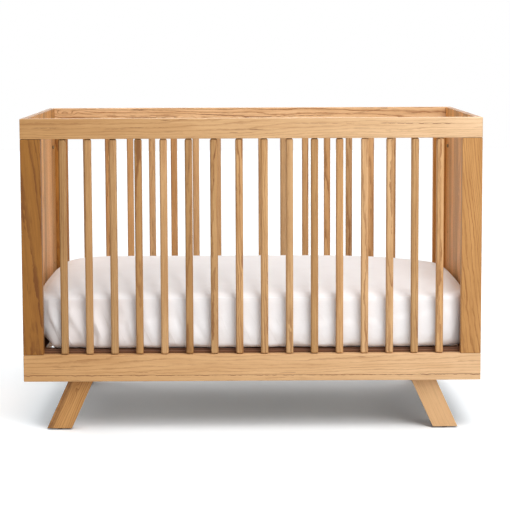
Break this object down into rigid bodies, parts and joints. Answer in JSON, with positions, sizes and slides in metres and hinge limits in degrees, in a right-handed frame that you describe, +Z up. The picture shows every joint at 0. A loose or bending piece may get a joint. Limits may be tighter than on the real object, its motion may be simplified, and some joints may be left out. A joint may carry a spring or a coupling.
{
  "type": "baby crib",
  "caption": "Full-size oak baby crib with slatted front and back, solid end panels, splayed legs, height-adjustable mattress support, and a mattress in a white fitted sheet.",
  "frame": {"origin": "on the floor, under the middle of the crib", "axes": "+X along the crib, +Z up, -Y towards the front"},
  "size_m": [1.365, 0.762, 0.938],
  "materials": {
    "oak": "satin",
    "oak_panel": "satin",
    "dark_steel": "satin",
    "bolt_steel": "satin",
    "glide_nylon": "matte",
    "ticking": "matte",
    "cotton": "matte"
  },
  "bodies": {
    "crib_frame": {"front_top_rail": "oak", "front_bottom_rail": "oak", "rear_top_rail": "oak", "rear_bottom_rail": "oak", "front_left_post": "oak", "front_right_post": "oak", "rear_left_post": "oak", "rear_right_post": "oak", "front_spindle_01": "oak", "front_spindle_02": "oak", "front_spindle_03": "oak", "front_spindle_04": "oak", "front_spindle_05": "oak", "front_spindle_06": "oak", "front_spindle_07": "oak", "front_spindle_08": "oak", "front_spindle_09": "oak", "front_spindle_10": "oak", "front_spindle_11": "oak", "front_spindle_12": "oak", "front_spindle_13": "oak", "front_spindle_14": "oak", "front_spindle_15": "oak", "front_spindle_16": "oak", "rear_spindle_01": "oak", "rear_spindle_02": "oak", "rear_spindle_03": "oak", "rear_spindle_04": "oak", "rear_spindle_05": "oak", "rear_spindle_06": "oak", "rear_spindle_07": "oak", "rear_spindle_08": "oak", "rear_spindle_09": "oak", "rear_spindle_10": "oak", "rear_spindle_11": "oak", "rear_spindle_12": "oak", "rear_spindle_13": "oak", "rear_spindle_14": "oak", "rear_spindle_15": "oak", "rear_spindle_16": "oak", "front_left_leg": "oak", "front_right_leg": "oak", "rear_left_leg": "oak", "rear_right_leg": "oak", "left_end_panel": "oak_panel", "right_end_panel": "oak_panel", "front_left_glide": "glide_nylon", "front_right_glide": "glide_nylon", "rear_left_glide": "glide_nylon", "rear_right_glide": "glide_nylon"},
    "mattress_support": {"mattress_support_frame": "dark_steel", "mattress_support_deck": "dark_steel", "front_left_support_bolt": "bolt_steel", "front_right_support_bolt": "bolt_steel", "rear_left_support_bolt": "bolt_steel", "rear_right_support_bolt": "bolt_steel"},
    "mattress": {"mattress": "ticking", "fitted_sheet": "cotton"}
  },
  "joints": [
    {"name": "mattress_height", "type": "slide", "parent": "crib_frame", "child": "mattress_support", "axis": [0, 0, 1], "range_m": [0, 0.291]},
    {"name": "mattress_lift", "type": "slide", "parent": "mattress_support", "child": "mattress", "axis": [0, 0, 1], "range_m": [0, 0.7]}
  ]
}
